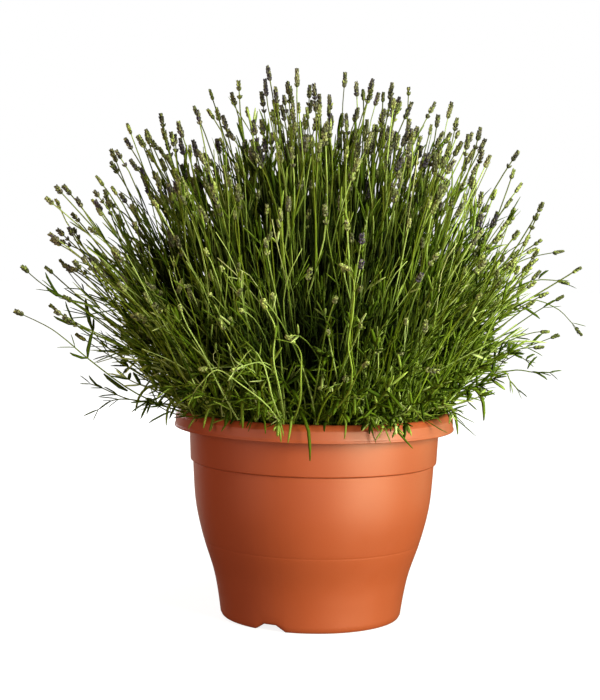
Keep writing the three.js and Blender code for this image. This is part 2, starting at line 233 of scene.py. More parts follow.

# Stems that show against the background at the two sides, in the same form. The outermost stems of
# the tufts named in HAND_SHAPED are all placed here.
SIDE_STEMS = [
    [1, [[-135, -60, 205], [-171, -75, 223], [-209, -85, 252], [-229, -88, 269], [-246, -90, 281],
         [-275, -90, 294]], 0.5],
    [1, [[-140, -60, 239], [-190, -78, 278], [-221, -88, 302], [-250, -90, 319], [-269, -90, 335]], 0.3],
    [3, [[-158, -20, 254], [-202, 20, 292], [-220, 30, 301], [-236, 38, 315], [-254, 40, 338]], 0.05],
    [1, [[-141, -50, 225], [-193, -50, 258], [-225, -50, 280], [-249, -50, 298]], 0.1],
    [3, [[-149, -10, 221], [-200, 10, 247], [-233, 10, 267]], 0.05],
    [3, [[-145, 0, 218], [-179, 0, 242], [-204, 0, 258], [-216, 0, 272]], None],
    [1, [[-137, -30, 204], [-176, -30, 209], [-204, -30, 220], [-214, -30, 223]], None],
    [1, [[-136, -50, 204], [-173, -50, 211], [-192, -50, 209], [-204, -50, 200]], None],
    [15, [[140, 20, 279], [181, 35, 332], [207, 45, 349], [242, 45, 357]], 0.2],
    [16, [[127, -30, 262], [163, -40, 302], [197, -45, 328], [220, -45, 331], [235, -45, 328]], 0.05],
    [17, [[135, 60, 246], [177, 90, 280], [218, 120, 304], [248, 130, 297], [265, 130, 282],
          [276, 130, 269]], 0.15],
    [16, [[128, -30, 243], [175, -45, 279], [204, -45, 300], [230, -45, 316]], 0.1],
    [17, [[145, 60, 234], [188, 80, 261], [217, 80, 273], [235, 80, 275]], 0],
    [17, [[134, 40, 223], [175, 60, 247], [217, 75, 261], [244, 75, 272]], 0],
    [16, [[138, -20, 228], [174, -40, 257], [192, -45, 266], [213, -45, 268]], 0],
    [17, [[146, 20, 239], [193, 50, 253], [209, 50, 248]], None],
    [16, [[148, -20, 229], [185, -30, 244], [207, -30, 243], [223, -30, 243]], None],
    [16, [[147, -30, 225], [176, -40, 243], [184, -40, 235], [191, -40, 227]], None],
]
HAND_SHAPED = (1, 16, 17)
BENT_TONES = [0.55, 0.85]
SIDE_TONES = [0, 0.35]

# Long leaves at the joints of those stems: the tuft's number, where the leaf starts and ends, and
# half its width.
SIDE_LEAVES = [
    [1, [-209, -85, 252], [-205, -80, 277], 1.8], [1, [-209, -85, 252], [-225, -88, 257], 1.3],
    [1, [-236, -90, 311], [-248, -88, 330], 1.2], [1, [-232, -90, 308], [-246, -95, 317], 1.5],
    [1, [-225, -50, 280], [-235, -50, 302], 1.0], [1, [-225, -50, 280], [-246, -50, 288], 1.4],
    [3, [-216, 0, 272], [-223, 0, 303], 1.9], [3, [-216, 0, 272], [-232, 0, 277], 1.0],
    [1, [-204, -30, 220], [-215, -30, 231], 1.1], [1, [-178, -30, 217], [-201, -30, 233], 1.9],
    [16, [207, -45, 332], [216, -45, 340], 1.2], [17, [207, 115, 300], [211, 110, 330], 1.7],
    [17, [217, 120, 304], [240, 125, 313], 0.9], [17, [209, 115, 299], [230, 112, 286], 1.4],
    [17, [217, 75, 261], [228, 75, 273], 1.4], [17, [209, 50, 248], [218, 50, 254], 1.2],
    [16, [201, -30, 246], [210, -30, 258], 1.1], [16, [207, -30, 243], [220, -30, 236], 1.0],
]
BLADE_BOW = 1.5  # how far the middle of such a leaf bows out

# Leaves that hang over the rim: the leafy tuft's number, points along the leaf, half its width.
RIM_LEAVES = [
    [9, [[-62, -118, 212], [-64, -134, 223], [-64, -146, 214], [-63, -147, 198]], 1.9],
    [9, [[-84, -100, 208], [-92, -116, 214], [-97, -124, 206], [-99, -126, 195]], 1.3],
    [10, [[-18, -112, 210], [-13, -132, 213], [-5, -142, 196], [-3, -144, 170]], 1.8],
    [10, [[-36, -116, 206], [-33, -132, 208], [-31, -141, 200], [-29, -142, 186]], 1.4],
    [10, [[-16, -118, 206], [-20, -134, 208], [-21, -142, 199], [-23, -143, 185]], 1.3],
    [10, [[-50, -114, 207], [-47, -131, 209], [-44, -141, 203], [-43, -142, 193]], 1.1],
    [11, [[52, -100, 208], [61, -122, 212], [73, -135, 198], [88, -137, 182]], 1.3],
    [11, [[22, -112, 206], [25, -130, 210], [28, -141, 203], [27, -143, 190]], 1.2],
    [12, [[110, -52, 212], [122, -60, 215], [131, -62, 204], [134, -62, 186]], 1.6],
    [12, [[138, -40, 226], [151, -40, 227], [159, -40, 214], [160, -40, 197]], 1.9],
    [7, [[-148, -20, 220], [-160, -22, 220], [-168, -24, 210], [-171, -24, 197]], 1.4],
    [8, [[-120, -62, 210], [-130, -70, 214], [-136, -74, 205], [-137, -74, 190]], 1.4],
]
RIM_LEAF_STEPS = 6

# Leafy twigs that droop over the rim: the leafy tuft's number and points along the twig.
RIM_TWIGS = [
    [11, [[42, -96, 186], [50, -118, 208], [57, -136, 209], [62, -145, 201]]],
    [11, [[52, -92, 186], [62, -112, 206], [69, -130, 208], [73, -138, 200]]],
    [11, [[34, -98, 186], [42, -122, 208], [47, -138, 210], [50, -146, 205]]],
    [10, [[-26, -98, 186], [-28, -120, 207], [-30, -136, 208], [-32, -143, 202]]],
    [11, [[60, -90, 186], [71, -108, 207], [79, -122, 208], [83, -129, 202]]],
    [12, [[88, -50, 186], [106, -62, 208], [118, -72, 212], [128, -80, 206]]],
]

# The leafy shoots: an outer ring that spreads over the rim and an inner ring between the stems. Their
# leaves are given as those above.
SHOOT_RINGS = [
    {
        "root": 97,
        "arch": [0.02, 0.2],
        "pairs": 6,
        "leaf": [55, [9, 22], [1.2, 2.2], [-0.2, 0.28]],
        "ends": [[188, 236], [170, 250], [150, 262]],
        "bearings": [4, 34, 62, 90, 118, 148, 178, 206, 232, 260, 296, 328],
        "reach": [108, 188],
        "rise": [207, 300],
        "swing": 24,
        "overhang": True,
    },
    {
        "root": 52,
        "arch": [0, 0.14],
        "pairs": 7,
        "leaf": [30, [16, 36], [0.9, 1.8], [-0.1, 0.25]],
        "ends": [[118, 292], [96, 320], [76, 300]],
        "bearings": [16, 58, 94, 157, 239, 272],
        "reach": [36, 132],
        "rise": [236, 300],
        "swing": 32,
        "overhang": False,
    },
]
SHOOT_SWING = 6
RIGHT_LIFT = 26  # the leaves stand this much higher on the right
FRONT_DROP = 7  # and this much lower in front
SHOOTS_PER_TUFT = 15
TIP_LEAN = 0.4  # the leaves at a shoot's end lean by this share of the others' lean

# Each outer leafy tuft has short twigs that lie over the rim, and thin pale stems between the leaves.
FRINGE_TWIGS = 1
TWIG_LEAVES = 9
FRINGE_LEAVES = 6
FRINGE_RADII = [96, 114, 127, 134]
FRINGE_HEIGHTS = [187, 204, 209, 205]
WISPS = 11
WISP_RADII = [120, 215]
WISP_HEIGHTS = [235, 350]

STEM_RADIUS = 0.92
FOOT_SWELL = 1.15  # how much thicker a stem is at its foot
RIM_CLEARANCE = 2
OPENING = 115.5  # within this radius a strand may come down to the soil
LEAF_PLACES = np.array([0, 0.3, 0.8, 1])
LEAF_TAPER = np.array([0.4, 1, 0.86, 0.3])
LEAF_ROLL = 0.5
LEAF_TURN = 0.3
LEAN_RANGE = [0.5, 1.5]
LEAN_SCATTER = 4
# A leaf's tone: its stem's share, what is added, and how far it scatters.
LEAF_TONE = [0.65, 0.1, 0.26]

# A green bud and a riper spike of whorled calyces, with the ripeness that parts the two.
GREEN_AGE = 0.25
BUD = {"length": [7, 11], "lean": 14, "each": 5}
SPIKE = {"length": [11, 17], "lean": 30, "each": 6}
GAP_SHARE = 0.35  # of the spikes, those whose lowest whorl stands apart by this much
LOWEST_GAP = [3, 6]
WHORL_GAP = 2.9
CALYX_LENGTH = 3.9
CALYX_RADIUS = 1.15
CALYX_TAPER = np.array([0.5, 1, 0.4])
CALYX_TONE_SCATTER = 0.34
CALYX_RIPE_SCATTER = 0.2
# The spikes get shorter from this far out to that, down to this share of their length.
SHORTER_FROM = [150, 225]
SHORTEST = 0.7

# Painted shade: the plant has its full colour at its outline, and is painted nearly black at this depth
# inside it.
OUTLINE_TURNS = 30
OUTLINE_TILTS = 10
OUTLINE_SHARE = 77  # per cent of the plant's points that lie inside its outline
PAINTED_SHADE_DEPTH = 124
# Painted light: the painted shade is lifted, as if more light got in from above and from the right.
PAINTED_LIGHT_WAY = [0.55, -0.1, 0.83]
PAINTED_LIGHT_LIFT = 0.24

KEY_TINT = (0.93, 1.09, 0.89)
GLOSS_TINT = (0.95, 1.07, 0.62)
FILL_TINT = (1.07, 0.72, 0.6)
EDGE_TINT = (1, 0.82, 0.7)
SHED_TINT = (1, 0.98, 0.8)
WHITE = (1, 1, 1)
SHED_LIGHT = 0.22  # how bright the room is for the light it sheds, and for reflections
MIRRORED_LIGHT = 0.025
LIGHTS_AIM = (0, 0, 260)
# The lights: place, width and height, power and tint, and whether they show in reflections only.
LIGHTS = {
    "key": [(1300, -1160, 660), (800, 1000), 60, KEY_TINT, False],
    "reflector": [(1350, -1000, 120), (1600, 1300), 45, GLOSS_TINT, True],
    "side": [(1500, 600, 420), (1200, 1200), 12, GLOSS_TINT, True],
    "edge": [(-900, 1500, 100), (1000, 1000), 3, EDGE_TINT, True],
    "front": [(100, -1900, 60), (900, 700), 5.5, WHITE, False],
    "fill": [(-1500, -1200, 450), (1200, 1200), 12, FILL_TINT, False],
    "back": [(-700, 1700, 900), (1200, 1200), 20, WHITE, False],
}
CAMERA_PLACE = (0, -1637, 382)
CAMERA_TURNS = [("Z", 0.53), ("X", 85.64), ("Z", 1.16)]
FOCAL_LENGTH = 87.42
SENSOR_WIDTH = 36
FLOOR_HALF = 8000
FLOOR_SINK = 0.2

SEED = 7000
LEAFY_SEED = 7540
SOIL_SEED = 7900
CRUMB_SEED = 7901
FIRST_DOME_SEED = 100


def unit(vectors):
    return vectors / np.maximum(np.linalg.norm(vectors, axis=-1, keepdims=True), 1e-9)


def circle(turns):
    return np.stack([np.cos(turns), np.sin(turns)], axis=-1)


def even_turns(count):
    return 2 * np.pi * np.arange(count) / count


def way(bearings):
    return circle(np.radians(bearings))


def raised(level, height):
    """Points [right, back, up] from points [right, back] and their heights."""
    return np.concatenate([level, np.broadcast_to(height[..., None], (*level.shape[:-1], 1))], axis=-1)


# Cross-sections as [across, up] corners: a leaf is thin, with its margins turned down.
ROUND, SQUARE, THREE_SIDED = (circle(even_turns(sides)) for sides in (6, 4, 3))
LEAF_SECTION = np.array([[1, -0.3], [0, 0.4], [-1, -0.3]])
ALMOST_UP = [0.02, 0.01, 1.0]  # along no strand, so that a cross product with it never vanishes
DOME_MIDDLE = np.array([0, 0, DOME_CENTRE])

LINE_STEPS = 12
BENT_STEPS = 20
STEM, LEAF, FLOWER, WOOD = range(4)


def repeated(faces, count, stride):
    """The same faces on each of so many runs of vertices."""
    return (faces[None] + stride * np.arange(count)[:, None, None]).reshape(-1, faces.shape[1])


def walls_between(rings, around):
    """The quads between rings of vertices that follow each other."""
    turn = np.arange(around)
    after = np.roll(turn, -1)
    return repeated(np.stack([turn, after, after + around, turn + around], axis=1), rings - 1, around)


def loft(centres, across, widths, section, finish, tone, ripe=0.0, flatness=1):
    """Closed solids swept along many centre lines at once. Each vertex keeps its strand's tone,
    its place along the strand and how ripe the strand is."""
    count, steps, sides = len(centres), centres.shape[1], len(section)
    widths = np.broadcast_to(widths, (count, steps))
    tangents = unit(np.gradient(centres, axis=1))
    across = np.broadcast_to(across[:, None], tangents.shape)
    across = unit(across - tangents * (tangents * across).sum(-1, keepdims=True))
    up = np.cross(tangents, across)
    points = centres[:, :, None] + across[:, :, None] * (widths[..., None] * section[:, 0])[..., None]
    points = points + up[:, :, None] * ((widths * flatness)[..., None] * section[:, 1])[..., None]

    walls, last = walls_between(steps, sides), sides * (steps - 1)
    if sides == 3:
        turn = np.arange(sides)
        quads, tris = walls, np.array([turn[::-1], turn + last])
    else:
        cap = np.array([[0, k, k + 1, k + 2] for k in range(1, sides - 2, 2)])
        quads, tris = np.concatenate([walls, cap[:, ::-1], cap + last]), np.empty((0, 3), int)

    growth = np.empty((count, steps, sides, 3))
    growth[..., 0] = np.broadcast_to(tone, count)[:, None, None]
    growth[..., 1] = np.linspace(0, 1, steps)[None, :, None]
    growth[..., 2] = np.broadcast_to(ripe, count)[:, None, None]
    return {
        "points": points.reshape(-1, 3),
        "growth": growth.reshape(-1, 3),
        "quads": repeated(quads, count, steps * sides),
        "tris": repeated(tris, count, steps * sides),
        "quad_finish": np.full(count * len(quads), finish),
        "tri_finish": np.full(count * len(tris), finish),
    }


def joined(shapes):
    offsets = np.cumsum([0] + [len(shape["points"]) for shape in shapes[:-1]])
    merged = {key: np.concatenate([shape[key] for shape in shapes])
              for key in ("points", "growth", "quad_finish", "tri_finish")}
    for key in ("quads", "tris"):
        merged[key] = np.concatenate([shape[key] + offset for shape, offset in zip(shapes, offsets)])
    return merged


def mesh_of(name, points, faces, materials):
    mesh = bpy.data.meshes.new(name)
    mesh.from_pydata((np.asarray(points) * MM).tolist(), [], faces)
    for material in materials:
        mesh.materials.append(material)
    return mesh


def strand_mesh(name, shape, materials):
    """A mesh that keeps what its materials read on its vertices."""
    mesh = mesh_of(name, shape["points"], shape["quads"].tolist() + shape["tris"].tolist(), materials)
    finishes = np.concatenate([shape["quad_finish"], shape["tri_finish"]])
    mesh.polygons.foreach_set("material_index", finishes.astype(np.int32))
    growth = mesh.attributes.new("growth", "FLOAT_VECTOR", "POINT")
    growth.data.foreach_set("vector", shape["growth"].astype(np.float32).ravel())
    if "painted_light" in shape:
        painted_brightness = mesh.attributes.new("painted_light", "FLOAT", "POINT")
        painted_brightness.data.foreach_set("value", shape["painted_light"].astype(np.float32))
    return mesh


def linked(data):
    """A new object in the scene, named as its mesh, lamp or camera."""
    thing = bpy.data.objects.new(data.name, data)
    bpy.context.scene.collection.objects.link(thing)
    return thing


def add_piece(mesh, slot, *nodes):
    """A visible piece on the one body, in the place of the named nodes."""
    mesh.shade_smooth()
    piece = linked(mesh)
    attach(piece, "root")
    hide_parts(*nodes)


def soil_height(radius):
    return SOIL_EDGE_HEIGHT + SOIL_MOUND * (1 - (radius / SOIL_RADIUS) ** 2)


def clear_of_pot(lines):
    """Lifts what would dip into the soil or the rim, so that it lies over the rim instead."""
    radius = np.hypot(lines[..., 0], lines[..., 1])
    ground = soil_height(radius) - STUB_SINK
    lowest = np.where(radius < OPENING, ground, POT_HEIGHT + RIM_CLEARANCE)
    lowest = np.where(radius > RIM_RADIUS + RIM_CLEARANCE, 0, lowest)
    lifted = lines.copy()
    lifted[..., 2] = np.maximum(lines[..., 2], lowest)
    return lifted


def wandering(count, size, rng):
    """Smooth bends to add to lines, with none at a line's two ends."""
    t = np.linspace(0, 1, LINE_STEPS)
    waves = np.stack([np.sin(np.pi * halves * t) / (halves - 1) for halves in (2, 3, 4)])
    return np.einsum("cwk,ws->csk", rng.normal(0, size, (count, 3, 3)), waves)


def swaying(kind, count, rng):
    _, _, size, upward = STRANDS[kind]
    return rng.normal(0, size, (count, 3)) * [1, 1, upward]


def arched(starts, ends, arch, sway):
    """Lines from roots to tips: straight, with an upward arch that grows as the chord leans."""
    chord = ends - starts
    length = np.linalg.norm(chord, axis=1, keepdims=True)
    direction = chord / length
    lift = (np.array([0, 0, 1]) - direction * direction[:, 2:]) * length * np.reshape(arch, (-1, 1))
    first = starts + ARCH_PULLS[0] * chord + lift + sway
    second = starts + ARCH_PULLS[1] * chord + lift - 0.5 * sway
    t = np.linspace(0, 1, LINE_STEPS)[None, :, None]
    return ((1 - t) ** 3 * starts[:, None] + 3 * (1 - t) ** 2 * t * first[:, None]
            + 3 * (1 - t) * t ** 2 * second[:, None] + t ** 3 * ends[:, None])


def grown(starts, ends, arch, sway, rng, wander=WANDER):
    """Arched lines that wander a little, and lie over the rim where they would meet it."""
    return clear_of_pot(arched(starts, ends, arch, sway) + wandering(len(ends), wander, rng))


def along(lines, places):
    """Points and directions on each line, at that line's own row of places from 0 to 1."""
    spot = places * (lines.shape[1] - 1)
    low = np.minimum(spot.astype(int), lines.shape[1] - 2)
    row = np.arange(len(lines))[:, None]
    step = lines[row, low + 1] - lines[row, low]
    return lines[row, low] + step * (spot - low)[..., None], unit(step)


def outward(directions, turns):
    """The unit vector square to each direction, turned about it."""
    side = unit(np.cross(directions, ALMOST_UP))
    return side * np.cos(turns)[..., None] + np.cross(directions, side) * np.sin(turns)[..., None]


def leaned(axis, turns, leans):
    """Directions that lean away from an axis, and the way in which each leans."""
    away = outward(axis, turns)
    return axis * np.cos(leans)[..., None] + away * np.sin(leans)[..., None], away


def leaves(starts, directions, lengths, half_widths, droop, tone, rng):
    """Narrow leaves that bend over towards their tips."""
    t = LEAF_PLACES[None, :, None]
    bend = np.reshape(droop, (-1, 1, 1)) * np.array([0, 0, -1.0])
    centres = starts[:, None] + lengths[:, None, None] * (t * directions[:, None] + t ** 2 * bend)
    centres = clear_of_pot(centres)
    across = unit(np.cross(directions, ALMOST_UP))
    roll = rng.normal(0, LEAF_ROLL, len(starts))[:, None]
    across = unit(across + roll * np.cross(directions, across))
    widths = half_widths[:, None] * LEAF_TAPER
    return loft(centres, across, widths, LEAF_SECTION, LEAF, tone)


def leaf_pairs(lines, places, leaf, tone, rng):
    """Opposite leaves in pairs, each pair square to the one below it."""
    lean, lengths, half_widths, droop = leaf
    points, directions = along(lines, places)
    count, pairs = places.shape
    turns = rng.uniform(0, 2 * np.pi, (count, 1)) + np.pi / 2 * np.arange(pairs)
    turns = turns + rng.normal(0, LEAF_TURN, (count, pairs))
    turns = np.stack([turns, turns + np.pi], axis=-1)
    leans = lean * rng.uniform(*LEAN_RANGE, turns.shape) + rng.normal(0, LEAN_SCATTER, turns.shape)
    starts, axis = (np.repeat(rows[:, :, None], 2, axis=2) for rows in (points, directions))
    heading = unit(leaned(axis, turns, np.radians(leans))[0]).reshape(-1, 3)
    total = len(heading)
    share, added, scatter = LEAF_TONE
    tones = share * np.repeat(tone, 2 * pairs) + added + rng.normal(0, scatter, total)
    tones = np.clip(tones, 0, 1)
    return leaves(starts.reshape(-1, 3), heading, rng.uniform(*lengths, total),
                  rng.uniform(*half_widths, total), rng.uniform(*droop, total), tones, rng)


def calyx_places(tip, axis, length, form, gap, rng):
    """Where the calyces of one spike start, which way they point and how long they are."""
    whorls, each = max(2, round(length / WHORL_GAP)), form["each"]
    place = np.linspace(0, 1 - 0.7 * CALYX_LENGTH / length, whorls)
    height = place * length
    height[0] -= gap
    turns = 2 * np.pi * (np.arange(each) / each + 0.5 * np.arange(whorls)[:, None] / each)
    turns = turns + rng.normal(0, 0.12, turns.shape)
    swell = np.sin(np.pi * (0.3 + 0.6 * place))[:, None]
    leans = np.radians(form["lean"] * (1 - 0.6 * place))[:, None] + rng.normal(0, 0.08, turns.shape)
    heading, away = leaned(np.broadcast_to(axis, turns.shape + (3,)), turns, leans)
    starts = tip + axis * (height - length)[:, None, None] + away * 0.5
    lengths = CALYX_LENGTH * (0.7 + 0.4 * swell) * rng.uniform(0.88, 1.12, turns.shape)
    return starts.reshape(-1, 3), heading.reshape(-1, 3), lengths.ravel()


def heads(lines, tone, ripe, rng):
    """A green bud or a whorled spike at the end of every line, by how ripe it is."""
    rows = []
    for line, shade, age in zip(lines, tone, ripe):
        form, shorter = BUD, 1
        if age >= GREEN_AGE:
            form = SPIKE
            shorter = np.interp(np.hypot(line[-1][0], line[-1][1]), SHORTER_FROM, [1, SHORTEST])
        length = shorter * rng.uniform(*form["length"])
        gap = rng.uniform(*LOWEST_GAP) if form is SPIKE and rng.random() < GAP_SHARE else 0
        placed = calyx_places(line[-1], unit(line[-1] - line[-2]), length, form, gap, rng)
        count = len(placed[0])
        rows.append([*placed, shade + rng.normal(0, CALYX_TONE_SCATTER, count),
                     age + rng.normal(0, CALYX_RIPE_SCATTER, count)])
    starts, headings, lengths, tones, ripes = (np.concatenate(part) for part in zip(*rows))
    t = np.array([0, 0.5, 1])[None, :, None]
    centres = starts[:, None] + lengths[:, None, None] * t * headings[:, None]
    radii = CALYX_RADIUS * CALYX_TAPER * (lengths / CALYX_LENGTH)[:, None]
    across = unit(np.cross(headings, [0.3, 0.1, 1.0]))
    tones, ripes = np.clip(tones, 0, 1), np.clip(ripes, 0, 1)
    return loft(centres, across, radii, THREE_SIDED, FLOWER, tones, ripes)


def root_of(tip):
    """The root below a tip: the lower the tip leans, the nearer the pot's wall."""
    reach = tip - DOME_MIDDLE
    tilt = math.acos(reach[2] / np.linalg.norm(reach)) / math.radians(DOME_TILT)
    return unit(reach[:2]) * ROOT_SPREAD * tilt


def feet(root, tips, rng, share=BEHIND["root_share"]):
    """Where shoots leave the soil: between the tuft's own root and the ground nearer below each tip."""
    below = tips[:, :2] * share
    spots = root + (below - root) * rng.random((len(tips), 1)) + rng.normal(0, ROOT_SCATTER, (len(tips), 2))
    radius = np.linalg.norm(spots, axis=1, keepdims=True)
    within = np.minimum(radius, ROOT_LIMIT)
    return raised(spots * within / radius, soil_height(within[:, 0]) - STUB_SINK)


def woody_foot(root, rng):
    """The short brown foot of a tuft, from below the soil to where its shoots part."""
    spots = root + rng.normal(0, 0.25, (len(STUB_HEIGHTS), 2))
    centres = raised(spots, soil_height(np.hypot(*root)) + STUB_HEIGHTS)[None]
    return loft(centres, np.array([[1.0, 0, 0]]), STUB_RADIUS * STUB_TAPER, ROUND, WOOD, rng.random(1))


def stems(lines, kind, tone):
    thickness, taper = STRANDS[kind][:2]
    radii = thickness * STEM_RADIUS * np.linspace(FOOT_SWELL, taper, lines.shape[1])
    across = unit(np.cross(lines[:, -1] - lines[:, 0], ALMOST_UP))
    return loft(lines, across, radii, SQUARE, STEM, tone)


def leafy_stems(lines, kind, places, tone, rng):
    return [stems(lines, kind, tone), leaf_pairs(lines, places, LEAVES[kind], tone, rng)]


def spikes(tips, fixed, root, habit, ripeness, rng):
    """Flower stems to the given tips. The first few are the tuft's own and keep their shape."""
    count = len(tips)
    nods = (tips[:, 0] > 0) & (tips[:, 1] > NOD_BACK)
    arch = np.where(nods, NOD, STEM_ARCH + rng.normal(0, 0.035, count))
    sway = swaying("spike", count, rng)
    sway[:fixed] *= 0.5
    lines = grown(feet(root, tips, rng, habit["root_share"]), tips, arch, sway, rng)
    tone = rng.uniform(*habit["stem"], count)
    green = (tips[:, 0] > GREEN_RIGHT) & (tips[:, 2] < GREEN_BELOW)
    ripe = ripeness * rng.beta(1.3, 1.7, count) * np.where(green, GREEN_SHARE, 1)
    places = np.sort(rng.uniform(0.08, 0.62, (count, 3)), axis=1)
    upper = rng.random(count) < UPPER_SHARE
    high = rng.uniform(0.62, 0.8, (count, 1))
    return [
        stems(lines, "spike", tone),
        leaf_pairs(lines, places, habit["spike_leaf"], habit["tone"] * tone, rng),
        leaf_pairs(lines[upper], high[upper], LEAVES["upper"], tone[upper], rng),
        heads(lines, tone, ripe, rng),
    ]


def tall_shoots(tips, root, habit, rng):
    """Leafy shoots that stand as high as the flower stems, with long narrow upright leaves."""
    count, pairs = len(tips), habit["pairs"]
    arch = STEM_ARCH + rng.normal(0, 0.05, count)
    sway = swaying("shoot", count, rng)
    lines = grown(feet(root, tips, rng, habit["root_share"]), tips, arch, sway, rng)
    tone = rng.uniform(*habit["stem"], count)
    places = 0.2 + 0.72 * np.linspace(0, 1, pairs) + rng.uniform(-0.06, 0.06, (count, pairs))
    ends = np.full((count, 1), 0.985)
    return [
        stems(lines, "shoot", tone),
        leaf_pairs(lines, places, habit["shoot_leaf"], habit["tone"] * tone, rng),
        leaf_pairs(lines, ends, habit["tip_leaf"], habit["tone"] * tone, rng),
    ]


def bare_stems(tips, root, habit, rng):
    """Thin stems that show all their length, each with one small pair of leaves."""
    count = len(tips)
    sway = swaying("bare", count, rng)
    starts = feet(root, tips, rng, habit["root_share"])
    lines = grown(starts, tips, rng.normal(STEM_ARCH, 0.05, count), sway, rng)
    tone = rng.random(count)
    return leafy_stems(lines, "bare", rng.uniform(0.3, 0.95, (count, 1)), tone, rng)


def nodding_buds(buds, root, rng):
    """Listed buds, on thin pale stems that bend over."""
    _, tips, arch, ripe = (np.array(column, float) for column in zip(*buds))
    lines = clear_of_pot(arched(feet(root, tips, rng), tips, arch, swaying("bud", len(buds), rng)))
    tone = rng.uniform(0.6, 0.9, len(buds))
    places = rng.uniform(0.45, 0.9, (len(buds), 1))
    return [*leafy_stems(lines, "bud", places, tone, rng), heads(lines, tone, ripe, rng)]


def placed_stems(bent, root, tones, rng):
    """Listed stems, some with a bud and some with leaves to the end."""
    start = [[*root, soil_height(np.hypot(*root)) - STUB_SINK]]
    lines = np.array([spline(start + points, BENT_STEPS) for _, points, _ in bent])
    budding = np.array([ripe is not None for _, _, ripe in bent])
    tone = rng.uniform(*tones, len(bent))
    parts = leafy_stems(lines, "placed", rng.uniform(0.5, 0.85, (len(bent), 1)), tone, rng)
    if budding.any():
        ripe = [ripe for _, _, ripe in bent if ripe is not None]
        parts.append(heads(lines[budding], tone[budding], ripe, rng))
    if not budding.all():
        places = np.tile([0.72, 0.97], (np.count_nonzero(~budding), 1))
        parts.append(leaf_pairs(lines[~budding], places, LEAVES["end"], tone[~budding], rng))
    return parts


def side_leaves(placed, rng):
    """Listed leaves, flat to the front, each bowed a little."""
    starts, ends = (np.array([leaf[k] for leaf in placed], float) for k in (1, 2))
    across = unit(np.cross(ends - starts, [0.0, 1, 0]))
    t = LEAF_PLACES[None, :, None]
    bow = BLADE_BOW * np.sin(np.pi * t) * across[:, None]
    centres = starts[:, None] + (ends - starts)[:, None] * t + bow
    widths = np.array([[width] for _, _, _, width in placed]) * LEAF_TAPER
    return loft(centres, across, widths, LEAF_SECTION, LEAF, rng.uniform(0.1, 0.45, len(placed)))


def flowering_tuft(tuft, placed, rng):
    """Flower stems and tall leafy shoots from one foot, with what the lists place there."""
    tips, habit = np.array(tuft["tips"], float), tuft["habit"]
    root = np.mean([root_of(tip) for tip in tips], axis=0)
    blooming = scattered(tips, tuft["spikes"], SPIKE_REACH, habit["scatter"], rng)
    blooming = np.concatenate([tips[:tuft["fixed"]], blooming])
    spread = habit["scatter"] + SHOOT_SCATTER
    leafy = scattered(tips, tuft["shoots"], shoot_reach(tips), spread, rng)
    parts = [woody_foot(root, rng), *spikes(blooming, tuft["fixed"], root, habit, tuft["ripe"], rng),
             *tall_shoots(leafy, root, habit, rng)]
    if tuft["bare"]:
        bare = scattered(tips, tuft["bare"], BARE_REACH, habit["scatter"], rng)
        parts += bare_stems(bare, root, habit, rng)
    if placed["buds"]:
        parts += nodding_buds(placed["buds"], root, rng)
    if placed["bent"]:
        parts += placed_stems(placed["bent"], root, BENT_TONES, rng)
    if placed["side"]:
        parts += placed_stems(placed["side"], root, SIDE_TONES, rng)
    if placed["blades"]:
        parts.append(side_leaves(placed["blades"], rng))
    return joined(parts)


def rim_leaves(hung, rng):
    """Listed leaves that hang over the rim."""
    lines = np.array([spline(points, RIM_LEAF_STEPS) for _, points, _ in hung])
    taper = np.interp(np.linspace(0, 1, RIM_LEAF_STEPS + 1), LEAF_PLACES, LEAF_TAPER)
    widths = np.array([[width] for _, _, width in hung]) * taper
    across = unit(np.cross(lines[:, -1] - lines[:, 0], [0.3, 1.0, 0]) + rng.normal(0, 0.1, (len(hung), 3)))
    return loft(lines, across, widths, LEAF_SECTION, LEAF, rng.uniform(0.25, 0.7, len(hung)))


def twig_places(pairs, count):
    """Even places for the leaves, from a third of a twig's length to its end."""
    return np.tile(np.linspace(0.3, 0.98, pairs), (count, 1))


def rim_twigs(twigs, rng):
    """Listed twigs that droop over the rim, thick with small leaves."""
    lines = np.array([spline(points, LINE_STEPS) for _, points in twigs])
    tone = rng.uniform(0.4, 0.85, len(twigs))
    return leafy_stems(lines, "twig", twig_places(TWIG_LEAVES, len(twigs)), tone, rng)


def rim_fringe(bearing, rng):
    """Short twigs of small leaves that lie over the rim beside a leafy tuft."""
    count = FRINGE_TWIGS
    tone = rng.uniform(0.1, 0.5, count)
    ways = way(bearing + rng.uniform(-15, 15, count))
    radii = FRINGE_RADII + rng.uniform(-3, 3, (count, 4))
    radii = radii + np.outer(rng.uniform(-5, 5, count), [0, 0, 0.5, 1])
    heights = FRINGE_HEIGHTS + rng.uniform(-2, 3, (count, 4))
    heights = heights - np.outer(rng.uniform(0, 6, count), [0, 0, 0, 1])
    knots = raised(ways[:, None] * radii[..., None], heights)
    lines = clear_of_pot(np.array([spline(points, LINE_STEPS) for points in knots]))
    return leafy_stems(lines, "fringe", twig_places(FRINGE_LEAVES, count), tone, rng)


def wisps(root, bearing, rng):
    """Thin pale stems that bend about low between the leaves, some with a bud."""
    level = way(bearing + rng.uniform(-24, 24, WISPS)) * rng.uniform(*WISP_RADII, (WISPS, 1))
    ends = raised(level, rng.uniform(*WISP_HEIGHTS, WISPS))
    arch = rng.uniform(0.05, 0.4, WISPS)
    sway = swaying("wisp", WISPS, rng)
    lines = grown(feet(root, ends, rng), ends, arch, sway, rng, 1.5 * WANDER)
    tone = rng.uniform(0.6, 1, WISPS)
    places = np.sort(rng.uniform(0.3, 0.95, (WISPS, 3)), axis=1)
    budding = WISPS // 2
    return [*leafy_stems(lines, "wisp", places, tone, rng),
            heads(lines[:budding], tone[:budding], rng.uniform(0, 0.3, budding), rng)]


